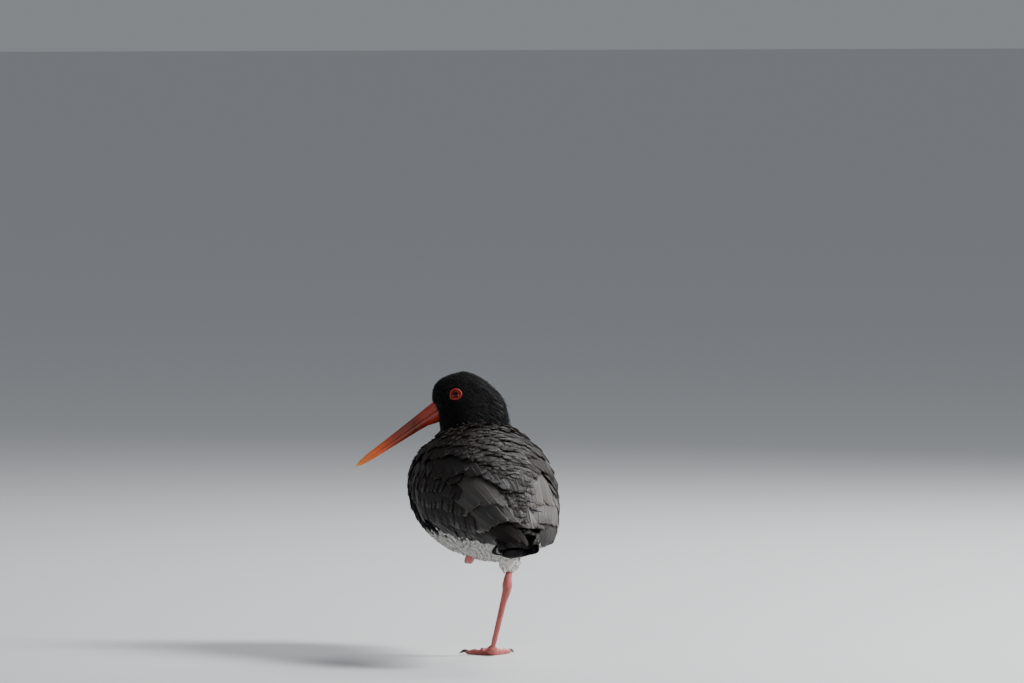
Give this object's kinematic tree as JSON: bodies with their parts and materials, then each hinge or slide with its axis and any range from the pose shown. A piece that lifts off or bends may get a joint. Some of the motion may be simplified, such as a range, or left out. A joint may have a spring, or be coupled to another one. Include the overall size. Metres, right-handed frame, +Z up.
{
  "type": "oystercatcher bird",
  "caption": "Life-size oystercatcher resting on its right leg, left foot tucked in the belly feathers, head turned to its left, with a long orange-red bill.",
  "frame": {"origin": "middle of the bounding box on the floor under the bird", "axes": "+X is the bird's left, -Y is forward past the breast, +Y runs to the tail, +Z is up"},
  "size_m": [0.1466, 0.268, 0.219],
  "materials": {
    "black_feathers": "satin",
    "brown_feathers": "satin",
    "white_feathers": "matte",
    "bill_horn": "satin",
    "eye_surface": "gloss",
    "eye_ring_skin": "satin",
    "leg_skin": "satin",
    "claw_horn": "satin"
  },
  "bodies": {
    "root": {"head": "black_feathers", "neck": "black_feathers", "torso": "white_feathers", "bill_upper": "bill_horn", "bill_lower": "bill_horn", "eye_left": "eye_surface", "eye_right": "eye_surface", "eye_ring_left": "eye_ring_skin", "eye_ring_right": "eye_ring_skin", "wing_left": "brown_feathers", "wing_right": "brown_feathers", "tail": "black_feathers", "thigh_right": "white_feathers", "shank_right": "leg_skin", "ankle_right": "leg_skin", "tarsus_right": "leg_skin", "toe_inner_right": "leg_skin", "toe_middle_right": "leg_skin", "toe_outer_right": "leg_skin", "claw_inner_right": "claw_horn", "claw_middle_right": "claw_horn", "claw_outer_right": "claw_horn", "tucked_foot_left": "leg_skin"}
  },
  "joints": []
}
